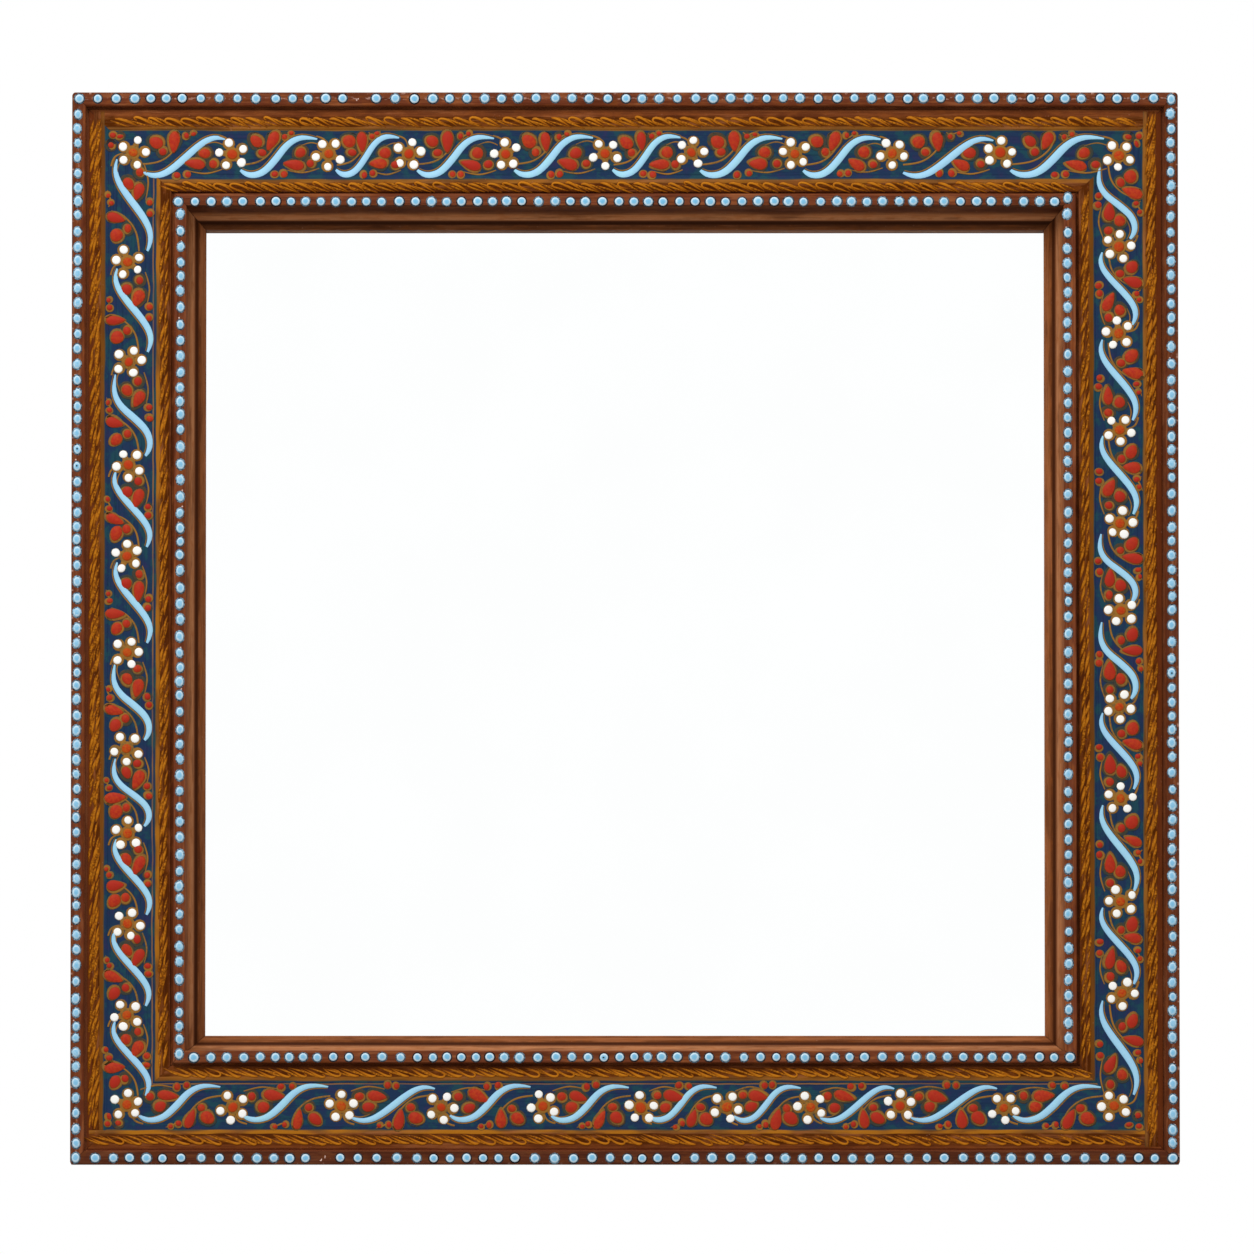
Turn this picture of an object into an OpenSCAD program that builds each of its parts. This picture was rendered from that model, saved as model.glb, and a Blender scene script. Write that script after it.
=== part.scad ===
// Square wall mirror in a mitred wooden frame, painted and dotted by hand.
// +Z is up, the front faces -Y, and the wall is the plane y = 0.
// Most pieces are drawn on a rail that lies flat: X runs along the rail, Y points out of the
// frame with 0 at the outer edge, and Z rises from the rail's back to its front.

/* [Frame] */
// Width over the outer edges
frame_w = 500; // [470:2:620]
// Height over the outer edges
frame_h = 488; // [470:2:620]
// Width of the moulding, from its outer edge to the sight edge
rail_w = 60.5; // [59:0.5:68]
// Thickness of the moulding at its beads
rail_t = 30; // [29:0.5:36]
// How far the outer side leans in towards the wall
side_lean = 3.5; // [1:0.5:6]
// Radius of the frame's four outer corners
corner_r = 1.8; // [0.6:0.2:4]

/* [Moulding] */
// Width of the outer bead
outer_bead_w = 6.3; // [5.4:0.1:7]
// Width of the inner bead
inner_bead_w = 5.6; // [5.2:0.1:6.5]
// Radius of the bead's shoulders
bead_r = 0.7; // [0.3:0.05:0.75]
// Width of the quirk beside each bead
quirk_w = 1.3; // [0.8:0.1:2]
// Depth of the quirks under the bead's crown
quirk_drop = 4.2; // [3.8:0.1:6]
// Width of the outer rope band
outer_band_w = 8.8; // [7:0.1:10]
// Width of the inner rope band
inner_band_w = 7.4; // [6:0.1:9]
// Height of the rope bands' edges over the panel
band_foot = 0.2; // [0.15:0.05:0.5]
// How far the rope bands swell up over their edges
band_rise = 0.6; // [0.3:0.1:1.2]
// Depth of the blue panel under the beads
panel_drop = 3.3; // [2.5:0.1:3.7]
// Width of the cove inside the inner bead
cove_w = 4.1; // [3:0.1:5]
// Hollow of the cove, measured from its straight chord
cove_hollow = 1.2; // [0.5:0.1:1.6]
// Depth of the groove at the foot of the cove
groove_drop = 12; // [10:0.5:13]
// Radius of that groove
groove_r = 0.6; // [0.4:0.1:0.9]
// Width of the lip around the glass
lip_w = 4.6; // [4:0.1:5.5]
// Depth of the sight edge under the beads
sight_drop = 17; // [14:0.5:19]
// Radius of the sight edge
sight_r = 1; // [0.4:0.1:1.8]

/* [Rabbet and glazing] */
// How far the lip reaches over the glass
rabbet_w = 7; // [6:0.5:8]
// Thickness of the mirror glass
glass_t = 3; // [2:0.5:4]
// Thickness of the grey card behind the glass
card_t = 1; // [0.5:0.5:2]
// Thickness of the hardboard back
board_t = 3; // [2.5:0.5:4]
// Gap around the glass, card and board in the rabbet
glazing_gap = 1; // [0.5:0.25:2]

/* [Corner nails] */
// Distances of the two nails of a mitre from the outer corner, along each edge
nail_at = [11, 36];
// Length of one leg of a V nail
nail_leg = 5; // [3:0.5:6]
// Thickness of the nail's steel
nail_t = 0.8; // [0.6:0.1:1.2]
// How deep the nails go in
nail_depth = 8; // [6:0.5:12]
// Half the angle between the legs
nail_spread = 50; // [35:1:65]

/* [Turn buttons] */
// Distance of each button's screw from the end of its rail
button_inset = 90; // [75:5:100]
// Distance of the screws from the edge of the rabbet
button_edge = 8; // [7.5:0.5:10]
// Radius of the round end, at the screw
button_r = 6; // [5:0.5:6.5]
// Radius of the tip
button_tip_r = 4.5; // [3:0.5:5.5]
// Distance from the screw to the tip's centre
button_reach = 15; // [13:0.5:18]
// Thickness of the steel
button_t = 1.4; // [1:0.1:1.8]

/* [Hangers] */
// Distance of the ring's pin under the frame's top edge
hanger_drop = 150; // [140:5:180]
// Distance of the straps from the frame's outer edge
hanger_in = 28; // [24:0.5:30]
// Width of the strap
strap_w = 11; // [9:0.5:12]
// Thickness of the strap's steel
strap_t = 0.9; // [0.7:0.1:1.1]
// Distances of the strap's two screws under the pin
strap_holes = [23, 34];
// Thickness of the ring's wire
ring_wire = 2.2; // [1.8:0.1:2.4]
// Width of the ring's opening
ring_w = 16; // [15:0.5:20]
// Height of the ring's opening
ring_h = 14; // [12:0.5:14.5]
// Bend radius of the ring's upper corners, along the wire
ring_bend = 2.2; // [1.5:0.1:2.4]

/* [Screws] */
// Diameter of the shank
screw_d = 3; // [2.5:0.1:3.5]
// Length under the head
screw_len = 13; // [10:1:16]
// Diameter of the round head
screw_head_d = 6; // [5.5:0.1:7]
// Height of the head
screw_head_h = 1.6; // [1.2:0.1:1.8]
// Width of the slot in the head
screw_slot = 1; // [0.6:0.1:1.2]

/* [Bumpers] */
// Diameter of the rubber bumpers
bumper_d = 12; // [9:0.5:14]
// Height of the bumpers, which is the gap between the frame and the wall
bumper_h = 5; // [5:0.5:8]
// Distance of the bumpers from both outer edges
bumper_in = 23; // [21:0.5:26]
// Rounding of the bumper's rim
bumper_r = 1; // [0.5:0.25:2]

/* [Painted dots] */
// Diameter of the enamel dots on both beads
dot_d = 4; // [3:0.1:4.1]
// Height of the dots
dot_h = 0.9; // [0.5:0.1:1.4]
// Spacing of the outer dots on the top and bottom rails
outer_row_pitch = 8; // [6:0.1:10]
// Spacing of the outer dots on the left and right rails
outer_column_pitch = 6.7; // [6:0.1:10]
// Spacing of the inner dots
inner_dot_pitch = 7.1; // [6:0.1:10]

/* [Painted flowers] */
// Flowers on each rail, with the one at its first corner
flower_count = 10; // [8:1:11]
// Diameter of a petal
petal_d = 4.6; // [3.6:0.1:5]
// Height of a petal
petal_h = 0.8; // [0.4:0.1:1.2]
// Distance of the petals from the flower's middle
petal_ring = 6; // [5:0.1:6.5]
// Petals of one flower
petal_count = 5; // [4:1:6]
// How far each flower is painted off its even place, along the top, right, bottom and left rails
flower_nudges = [
  [0, 1, 0, -9, -9, -9, -15, -12, -13, -9],
  [1, 0, -4, -4, -4, -8, -8, -9, -6, -8],
  [2, 8, 10, 5, -1, -7, -8, -6, -6, -2],
  [0, -2, -4, -7, -11, -11, -11, -12, -9, -7]
];

/* [Painted ribbons] */
// Width of the blue ribbon strokes
ribbon_w = 3.2; // [2:0.1:4]
// Thickness of the paint
ribbon_t = 0.4; // [0.2:0.1:0.8]
// Space between a ribbon and the edge of the panel
ribbon_edge = 0.6; // [0.3:0.1:1.5]
// Share of a ribbon that turns back at each of its ends
ribbon_hook = 0.1; // [0:0.02:0.14]
// Gap between the tip of a ribbon and the circle around a flower's petals
ribbon_gap = 0.4; // [0.3:0.1:1.5]

/* [Clearances] */
// Play of the wire in the strap's curl and of the screws in the steel
pin_play = 0.2; // [0.15:0.05:0.3]
// Play of the screws in the wood
wood_play = 0.05; // [0.05:0.05:0.15]
// Gap above and below a turn button, so that it turns
turn_gap = 0.1; // [0.1:0.05:0.2]

/* [Hidden] */
SIDES = ["top", "right", "bottom", "left"];
$fn = 64;
// How far a cutting shape runs past what it cuts
past = 1;
// How far a button's straight sides lie inside the round of its ends
side_in = 0.05;

// Places across the moulding, from its outer edge
outer_band_p = outer_bead_w + quirk_w;
panel_p = outer_band_p + outer_band_w;
lip_p = rail_w - lip_w;
cove_p = lip_p - cove_w;
inner_bead_p = cove_p - inner_bead_w;
inner_band_p = inner_bead_p - quirk_w - inner_band_w;
panel_w = inner_band_p - panel_p;
panel_mid = panel_p + panel_w / 2;
outer_dot_p = outer_bead_w / 2;
inner_dot_p = inner_bead_p + inner_bead_w / 2;

// Heights over the rail's back
panel_z = rail_t - panel_drop;
rabbet_z = glass_t + card_t + board_t;
rabbet_p = rail_w - rabbet_w;
button_p = rabbet_p - button_edge;
hole_depth = screw_len + past;

// The ring's pin and its curl
wire_r = ring_wire / 2;
curl_r = wire_r + pin_play;
pin_y = -bumper_h + curl_r + strap_t;
pin_z = frame_h / 2 - hanger_drop;
ring_r = (ring_w + ring_wire) / 2;
ring_leg = ring_h + ring_wire - ring_r - ring_bend;
strap_end = max(strap_holes) + strap_w / 2;

function rail_len(side) = side % 2 == 0 ? frame_w : frame_h;
function rail_out(side) = side % 2 == 0 ? frame_h / 2 : frame_w / 2;
// A point's image across the X axis
function flip(v) = [v[0], -v[1]];
// Radius of the arc over a chord that rises by some height
function arc_r(chord, rise) = (chord * chord / 4 + rise * rise) / (2 * rise);

// Puts what is drawn on a flat rail in its place: sides run top, right, bottom, left
module on_rail(side) {
  rotate([0, 90 * side, 0])
    translate([0, -bumper_h, rail_out(side)])
      rotate([90, 0, 0])
        children();
}

// A rope band's section: straight edges that start under the panel's level, and a swelled top
module swell(x, z, wide, rise) {
  r = arc_r(wide, rise);
  translate([x, z])
    intersection() {
      translate([wide / 2, band_foot + rise - r])
        circle(r, $fn = 180);
      translate([0, -2 * past])
        square([wide, 4 * past]);
    }
}

// Two quarter rounds that finish a bead from x0 to x1
module bead_shoulders(x0, x1) {
  for (x = [x0 + bead_r, x1 - bead_r])
    translate([x, rail_t - bead_r])
      circle(bead_r);
}

// Section of the moulding: x is the distance in from the outer edge, y the height over the back
module rail_section() {
  inner_band_end = inner_bead_p - quirk_w;
  cove_foot = [lip_p - 2 * groove_r, rail_t - groove_drop];
  cove_top = [cove_p, rail_t - bead_r];
  cove_chord = norm(cove_top - cove_foot);
  cove_r = arc_r(cove_chord, cove_hollow);
  cove_side = [cove_top[1] - cove_foot[1], cove_foot[0] - cove_top[0]] / cove_chord;
  cove_center = (cove_top + cove_foot) / 2 + cove_side * (cove_r - cove_hollow);
  sight_z = rail_t - sight_drop;
  difference() {
    union() {
      polygon([
        [side_lean, 0],
        [rabbet_p, 0],
        [rabbet_p, rabbet_z],
        [rail_w, rabbet_z],
        [rail_w, sight_z - sight_r],
        [rail_w - sight_r, sight_z],
        [lip_p, rail_t - groove_drop],
        cove_foot,
        cove_top,
        [cove_p - bead_r, rail_t],
        [inner_bead_p + bead_r, rail_t],
        [inner_bead_p, rail_t - bead_r],
        [inner_bead_p, rail_t - quirk_drop],
        [inner_band_end, rail_t - quirk_drop],
        [inner_band_end, panel_z],
        [outer_band_p, panel_z],
        [outer_band_p, rail_t - quirk_drop],
        [outer_bead_w, rail_t - quirk_drop],
        [outer_bead_w, rail_t - bead_r],
        [outer_bead_w - bead_r, rail_t],
        [bead_r, rail_t],
        [0, rail_t - bead_r]
      ]);
      bead_shoulders(0, outer_bead_w);
      bead_shoulders(inner_bead_p, cove_p);
      swell(outer_band_p, panel_z, outer_band_w, band_rise);
      swell(inner_band_p, panel_z, inner_band_w, band_rise);
      translate([rail_w - sight_r, sight_z - sight_r])
        circle(sight_r);
    }
    translate(cove_center)
      circle(cove_r, $fn = 180);
    translate([lip_p - groove_r, rail_t - groove_drop])
      circle(groove_r);
  }
}

// One V nail, with its fold at the origin and its legs towards +X
module v_nail(depth) {
  fold = nail_t / 2 / sin(nail_spread);
  leg = nail_leg * [cos(nail_spread), sin(nail_spread)];
  side = nail_t / 2 * [-sin(nail_spread), cos(nail_spread)];
  linear_extrude(depth)
    polygon([[-fold, 0], flip(leg + side), flip(leg - side), [fold, 0], leg - side, leg + side]);
}

// The nails of the mitre at a rail's first end
module mitre_nails(side, from, to) {
  for (d = nail_at)
    translate([-rail_len(side) / 2 + d, -d, from])
      rotate(-45)
        v_nail(to - from);
}

// Places of a rail's two turn buttons
module button_places(side) {
  for (end = [-1, 1])
    translate([end * (rail_len(side) / 2 - button_inset), -button_p, 0])
      children();
}

// Places of a hanger's two screws, on the rail's back
module hanger_screw_places(hand) {
  for (d = strap_holes)
    translate([hand * (frame_w / 2 - hanger_in), -bumper_h, pin_z - d])
      rotate([90, 0, 0])
        children();
}

module pilot_hole() {
  translate([0, 0, -past])
    cylinder(d = screw_d + 2 * wood_play, h = hole_depth + past);
}

// A whole frame's outline with its corners rounded, cut out of a thick plate
module soft_corners() {
  w = frame_w - 2 * corner_r;
  h = frame_h - 2 * corner_r;
  translate([0, -bumper_h + past, 0])
    rotate([90, 0, 0])
      linear_extrude(rail_t + 2 * past) {
        square([w, frame_h], center = true);
        square([frame_w, h], center = true);
        for (x = [-w / 2, w / 2], y = [-h / 2, h / 2])
          translate([x, y])
            circle(corner_r);
      }
}

// One length of moulding, mitred at both ends and drilled for its fittings
module rail(side) {
  len = rail_len(side);
  long = len / 2 + past;
  short = len / 2 - rail_w - past;
  color("saddlebrown")
    difference() {
      intersection() {
        on_rail(side)
          intersection() {
            rotate([90, 0, 90])
              linear_extrude(len + 2 * past, center = true)
                mirror([1, 0])
                  rail_section();
            translate([0, 0, -past])
              linear_extrude(rail_t + 2 * past)
                polygon([[-long, past], [long, past], [short, -rail_w - past], [-short, -rail_w - past]]);
          }
        soft_corners();
      }
      on_rail(side) {
        mitre_nails(side, -past, nail_depth);
        mirror([1, 0, 0])
          mitre_nails(side, -past, nail_depth);
        button_places(side)
          pilot_hole();
      }
      if (side == 1)
        hanger_screw_places(1)
          pilot_hole();
      if (side == 3)
        hanger_screw_places(-1)
          pilot_hole();
    }
}

module corner_v_nails() {
  color("dimgray")
    for (side = [0:3])
      on_rail(side)
        mitre_nails(side, 0, nail_depth);
}

// A flat sheet in the rabbet, whose back lies at some height over the rail's back
module sheet(back, thick) {
  w = frame_w - 2 * (rabbet_p + glazing_gap);
  h = frame_h - 2 * (rabbet_p + glazing_gap);
  translate([-w / 2, -bumper_h - back - thick, -h / 2])
    cube([w, thick, h]);
}

module mirror_glass() {
  color("gainsboro")
    sheet(board_t + card_t, glass_t);
}

module card_sheet() {
  color("gray")
    sheet(board_t, card_t);
}

module backing_board() {
  color("peru")
    sheet(0, board_t);
}

// A steel turn button, wide at its screw and narrow at the tip that holds the board
module turn_button(side, end) {
  lean = asin((button_r - button_tip_r) / button_reach);
  flank = [sin(lean), cos(lean)];
  root = (button_r - side_in) * flank;
  tip = [button_reach, 0] + (button_tip_r - side_in) * flank;
  color("silver")
    on_rail(side)
      translate([end * (rail_len(side) / 2 - button_inset), -button_p, -turn_gap - button_t])
        rotate(-90)
          linear_extrude(button_t)
            difference() {
              union() {
                circle(button_r);
                translate([button_reach, 0])
                  circle(button_tip_r);
                polygon([flip(root), flip(tip), tip, root]);
              }
              circle(d = screw_d + 2 * pin_play);
            }
}

// A slotted round-head screw that enters +Z, with the underside of its head at height under
module screw(under) {
  dome_r = arc_r(screw_head_d, screw_head_h);
  point = screw_d;
  color("goldenrod")
    translate([0, 0, under])
      difference() {
        union() {
          rotate_extrude()
            intersection() {
              translate([0, dome_r - screw_head_h])
                circle(dome_r, $fn = 96);
              translate([0, -screw_head_h])
                square([screw_head_d / 2, screw_head_h]);
            }
          rotate_extrude()
            polygon([
              [0, -screw_head_h / 4],
              [screw_d / 2, -screw_head_h / 4],
              [screw_d / 2, screw_len - point],
              [screw_d / 10, screw_len],
              [0, screw_len]
            ]);
        }
        translate([-screw_head_d, -screw_slot / 2, -screw_head_h - past])
          cube([2 * screw_head_d, screw_slot, screw_head_h / 2 + past]);
      }
}

module turn_button_screws() {
  for (side = [0:3])
    on_rail(side)
      button_places(side)
        rotate(35 + 50 * side)
          screw(-2 * turn_gap - button_t);
}

// The strap runs down from the curl that holds the ring's pin
module hanger_strap(hand) {
  curl_turn = 285;
  color("silver")
    translate([hand * (frame_w / 2 - hanger_in), 0, pin_z]) {
      translate([0, pin_y, 0])
        rotate([0, -90, 0])
          rotate([0, 0, -90])
            rotate_extrude(angle = -curl_turn)
              translate([curl_r, -strap_w / 2])
                square([strap_t, strap_w]);
      translate([0, -bumper_h, 0])
        rotate([-90, 0, 0])
          linear_extrude(strap_t)
            difference() {
              union() {
                translate([-strap_w / 2, 0])
                  square([strap_w, max(strap_holes)]);
                translate([0, max(strap_holes)])
                  circle(strap_w / 2);
              }
              for (d = strap_holes)
                translate([0, d])
                  circle(d = screw_d + 2 * pin_play);
            }
    }
}

// A D ring that hangs from its pin, which lies along X
module hanger_ring(hand) {
  bar = ring_r - ring_bend;
  foot = -ring_bend - ring_leg;
  color("silver")
    translate([hand * (frame_w / 2 - hanger_in), pin_y, pin_z])
      rotate([90, 0, 0]) {
        translate([-bar, 0, 0])
          rotate([0, 90, 0])
            cylinder(d = ring_wire, h = 2 * bar);
        for (s = [0, 1])
          mirror([s, 0, 0]) {
            translate([bar, -ring_bend, 0])
              rotate_extrude(angle = 90)
                translate([ring_bend, 0])
                  circle(d = ring_wire);
            translate([ring_r, foot, 0])
              rotate([-90, 0, 0])
                cylinder(d = ring_wire, h = ring_leg);
          }
        translate([0, foot, 0])
          rotate([0, 0, 180])
            rotate_extrude(angle = 180)
              translate([ring_r, 0])
                circle(d = ring_wire);
      }
}

module hanger_screws() {
  for (hand = [-1, 1])
    hanger_screw_places(hand)
      rotate(20 * hand)
        screw(-strap_t);
}

// A soft round foot between the frame and the wall
module bumper(x, z) {
  color("dimgray")
    translate([x * (frame_w / 2 - bumper_in), -bumper_h, z * (frame_h / 2 - bumper_in)])
      rotate([-90, 0, 0])
        rotate_extrude() {
          square([bumper_d / 2, bumper_h - bumper_r]);
          square([bumper_d / 2 - bumper_r, bumper_h]);
          translate([bumper_d / 2 - bumper_r, bumper_h - bumper_r])
            circle(bumper_r);
        }
}

// A drop of thick enamel, flat below and domed above
module drop(d, h) {
  r = arc_r(d, h);
  rotate_extrude()
    intersection() {
      translate([0, h - r])
        circle(r, $fn = 96);
      square([d / 2, h]);
    }
}

// A row of dots along a bead, from the rail's first corner up to the next one
module dot_row(side, p, pitch) {
  run = rail_len(side) - 2 * p;
  count = round(run / pitch);
  color("lightskyblue")
    on_rail(side)
      for (i = [0:count - 1])
        translate([-run / 2 + i * run / count, -p, rail_t])
          drop(dot_d, dot_h);
}

module outer_dots(side) {
  dot_row(side, outer_dot_p, side % 2 == 0 ? outer_row_pitch : outer_column_pitch);
}

module inner_dots(side) {
  dot_row(side, inner_dot_p, inner_dot_pitch);
}

// Distance between flowers along a rail, how far the painter put one off its place, and the place
function flower_pitch(side) = (rail_len(side) - 2 * panel_mid) / flower_count;
function nudge(side, i) = i < min(flower_count, len(flower_nudges[side])) ? flower_nudges[side][i] : 0;
function flower_x(side, i) = -rail_len(side) / 2 + panel_mid + i * flower_pitch(side) + nudge(side, i);

module petals(side) {
  color("ivory")
    on_rail(side)
      for (i = [0:flower_count - 1], k = [0:petal_count - 1])
        translate([flower_x(side, i), -panel_mid, panel_z])
          rotate(360 * k / petal_count + 25 * i)
            translate([petal_ring, 0, 0])
              drop(petal_d, petal_h);
}

// The blue S strokes: one from each flower to the next, wide in the middle and narrow at the ends
module ribbons(side) {
  steps = 20;
  taper = 0.06;
  swing = panel_w / 2 - ribbon_edge - ribbon_w / 2;
  half = [for (i = [0:steps]) ribbon_w / 2 * sqrt(sin(180 * (taper + (1 - 2 * taper) * i / steps)))];
  clear = petal_ring + petal_d / 2 + ribbon_gap + half[0];
  turn = 180 / (1 - 2 * ribbon_hook);
  tip_out = swing * cos(turn * ribbon_hook);
  // A stroke starts where its tip is clear of the petals, or level with the flower if it passes wide of them
  start = sqrt(max(0, pow(clear, 2) - pow(tip_out, 2)));
  turned = [for (i = [0:steps]) -swing * cos(turn * (i / steps - ribbon_hook))];
  color("skyblue")
    on_rail(side)
      for (f = [0:flower_count - 1]) {
        run = flower_x(side, f + 1) - flower_x(side, f) - 2 * start;
        middle = [for (i = [0:steps]) [run * i / steps, turned[i]]];
        ahead = [for (i = [0:steps]) middle[min(i + 1, steps)] - middle[max(i - 1, 0)]];
        out = [for (v = ahead) [-v[1], v[0]] / norm(v)];
        translate([flower_x(side, f) + start, -panel_mid, panel_z])
          linear_extrude(ribbon_t)
            polygon([
              for (i = [0:steps]) middle[i] - half[i] * out[i],
              for (i = [steps:-1:0]) middle[i] + half[i] * out[i]
            ]);
      }
}

for (side = [0:3]) {
  rail(side);
  outer_dots(side);
  inner_dots(side);
  petals(side);
  ribbons(side);
  for (end = [0, 1])
    turn_button(side, 2 * end - 1);
}
corner_v_nails();
mirror_glass();
card_sheet();
backing_board();
turn_button_screws();
hanger_strap(-1);  // hanger_strap_left
hanger_strap(1);  // hanger_strap_right
hanger_ring(-1);  // ring_left
hanger_ring(1);  // ring_right
hanger_screws();
bumper(-1, 1);  // bumper_top_left
bumper(1, 1);  // bumper_top_right
bumper(-1, -1);  // bumper_bottom_left
bumper(1, -1);  // bumper_bottom_right
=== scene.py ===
import math
import random

import bpy
from mathutils import Matrix, Vector


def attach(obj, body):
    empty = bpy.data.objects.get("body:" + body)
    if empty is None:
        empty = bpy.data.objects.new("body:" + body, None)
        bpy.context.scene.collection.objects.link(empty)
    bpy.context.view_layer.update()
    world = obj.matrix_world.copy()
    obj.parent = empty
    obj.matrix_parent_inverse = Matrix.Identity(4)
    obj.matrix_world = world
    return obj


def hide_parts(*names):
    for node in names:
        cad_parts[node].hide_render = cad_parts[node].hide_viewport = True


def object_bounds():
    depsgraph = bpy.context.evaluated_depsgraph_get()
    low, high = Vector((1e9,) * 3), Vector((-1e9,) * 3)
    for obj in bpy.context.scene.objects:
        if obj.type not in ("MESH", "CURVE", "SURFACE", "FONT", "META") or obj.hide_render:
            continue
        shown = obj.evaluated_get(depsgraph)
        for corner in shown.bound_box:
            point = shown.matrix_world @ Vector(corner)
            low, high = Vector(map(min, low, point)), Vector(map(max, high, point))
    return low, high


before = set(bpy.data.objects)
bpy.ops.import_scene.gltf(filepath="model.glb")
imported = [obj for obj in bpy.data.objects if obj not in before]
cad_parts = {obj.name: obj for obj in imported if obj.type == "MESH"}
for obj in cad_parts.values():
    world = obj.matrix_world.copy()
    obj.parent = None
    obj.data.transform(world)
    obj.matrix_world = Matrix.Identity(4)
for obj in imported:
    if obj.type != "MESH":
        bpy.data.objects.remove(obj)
cad_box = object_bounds()

# The camera. The mirror is seen square from the front, from a little below its middle, through a
# long lens, and it fills most of a square picture with an even white margin.
lens_mm = 1000
sensor_mm = 36
shown_width = 0.5662
below = math.radians(7.3)
aim = Vector((0.0009, -0.030, 0.0008))
distance = shown_width * lens_mm / sensor_mm
backwards = Vector((0, -math.cos(below), -math.sin(below)))
bpy.ops.object.camera_add(location=aim + distance * backwards)
camera = bpy.context.object
camera.rotation_euler = (aim - camera.location).to_track_quat("-Z", "Y").to_euler()
camera.data.lens = lens_mm
camera.data.sensor_width = sensor_mm
camera.data.clip_end = 100
bpy.context.scene.camera = camera

# The four rails. Each is one length of softwood, run through a moulding cutter, mitred at its ends
# and glued. The frame was then painted by hand: brown beads, ochre bands, and a navy panel between
# ochre lines. The back is left bare.


class Socket:
    """A socket in a finish's nodes. Maths on it adds nodes, so a finish reads as an expression."""

    def __init__(self, tree, socket=None):
        self.tree = tree
        self.socket = socket

    def node(self, kind, settings, sockets, output=0):
        """A new node of any type: first its settings, then the values or links of its sockets."""
        made = self.tree.nodes.new("ShaderNode" + kind)
        for name, value in settings.items():
            if name != "stops":
                setattr(made, name, value)
                continue
            stops = made.color_ramp.elements
            while len(stops) < len(value):
                stops.new(1.0)
            for stop, (place, shade) in zip(stops, value):
                stop.position = place
                stop.color = shade
        for name, value in sockets.items():
            if isinstance(value, Socket):
                self.tree.links.new(value.socket, made.inputs[name])
            else:
                made.inputs[name].default_value = value
        return Socket(self.tree, made.outputs[output])

    def maths(self, operation, *values):
        return self.node("Math", {"operation": operation}, dict(enumerate(values)))

    def __add__(self, other):
        return self.maths("ADD", self, other)

    def __radd__(self, other):
        return self.maths("ADD", other, self)

    def __sub__(self, other):
        return self.maths("SUBTRACT", self, other)

    def __rsub__(self, other):
        return self.maths("SUBTRACT", other, self)

    def __mul__(self, other):
        return self.maths("MULTIPLY", self, other)

    def __rmul__(self, other):
        return self.maths("MULTIPLY", other, self)

    def __truediv__(self, other):
        return self.maths("DIVIDE", self, other)

    def __gt__(self, other):
        return self.maths("GREATER_THAN", self, other)

    def __lt__(self, other):
        return self.maths("LESS_THAN", self, other)

    def __abs__(self):
        return self.maths("ABSOLUTE", self)

    def least(self, other):
        return self.maths("MINIMUM", self, other)

    def most(self, other):
        return self.maths("MAXIMUM", self, other)

    def vector(self, a, b, c):
        return self.node("CombineXYZ", {}, {0: a, 1: b, 2: c})

    def parts(self):
        return [self.node("SeparateXYZ", {}, {0: self}, output) for output in range(3)]

    def noise(self, size, detail=2.0, roughness=0.5, distortion=0.0):
        """Noise from 0 to 1 with features of about that size, in the units of the vector."""
        return self.node("TexNoise", {}, {
            "Vector": self,
            "Scale": 1 / size,
            "Detail": detail,
            "Roughness": roughness,
            "Distortion": distortion,
        })

    def between(self, low, high):
        """0 below low and 1 above high, with a smooth step between them."""
        ends = {"From Min": low, "From Max": high}
        settings = {"interpolation_type": "SMOOTHSTEP"}
        return self.node("MapRange", settings, {"Value": self, **ends})

    def choose(self, low, high):
        """A number: low where this is 0 and high where it is 1."""
        return self.node("Mix", {"data_type": "FLOAT"}, {0: self, 2: low, 3: high})

    def tint(self, low, high):
        """A colour: low where this is 0, and high laid over it where this is 1."""
        return self.node("Mix", {"data_type": "RGBA"}, {0: self, 6: low, 7: high}, 2)

    def ramp(self, stops):
        return self.node("ValToRGB", {"stops": stops}, {"Fac": self})

    def bump(self, distance):
        """A normal from this height. The distance is in millimetres."""
        return self.node("Bump", {}, {"Height": self, "Distance": distance / 1000})


def colour(red, green, blue):
    """A colour as a screen shows it, from 0 to 255, in the linear values that a finish takes."""
    shares = [c / 255 for c in (red, green, blue)]
    return [*(s / 12.92 if s < 0.04 else ((s + 0.055) / 1.055) ** 2.4 for s in shares), 1.0]


def start_finish(name):
    """A new finish, and the place on the piece in millimetres that its pattern is drawn on."""
    finish = bpy.data.materials.new(name)
    finish.use_nodes = True
    finish.node_tree.nodes.clear()
    start = Socket(finish.node_tree)
    place = start.node("TexCoord", {}, {}, "Object")
    return finish, start.node("VectorMath", {"operation": "SCALE"}, {0: place, "Scale": 1000})


def end_finish(finish, sockets):
    """Joins the worked-out sockets to the surface."""
    start = Socket(finish.node_tree)
    surface = start.node("BsdfPrincipled", {}, sockets)
    output = finish.node_tree.nodes.new("ShaderNodeOutputMaterial")
    finish.node_tree.links.new(surface.socket, output.inputs["Surface"])


def clothe(finish, *nodes):
    """Gives CAD nodes a finish in place of the one they were packed with."""
    for node in nodes:
        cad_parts[node].data.materials.clear()
        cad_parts[node].data.materials.append(finish)


half_width = cad_box[1].x * 1000
half_height = cad_box[1].z * 1000
rail_width = 60.5
bead_width = 8.4
bead_top_y = -33.6
panel_middle, half_panel = 26.9, 11.2
# How far in from its even place the painter set out the top, right, bottom and left rails
layout_shift = (1.3, 0.2, 0.35, -0.9)

painted_wood, place = start_finish("painted wood")
x, y, z = place.parts()
from_side = half_width - abs(x)
from_end = half_height - abs(z)

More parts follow.
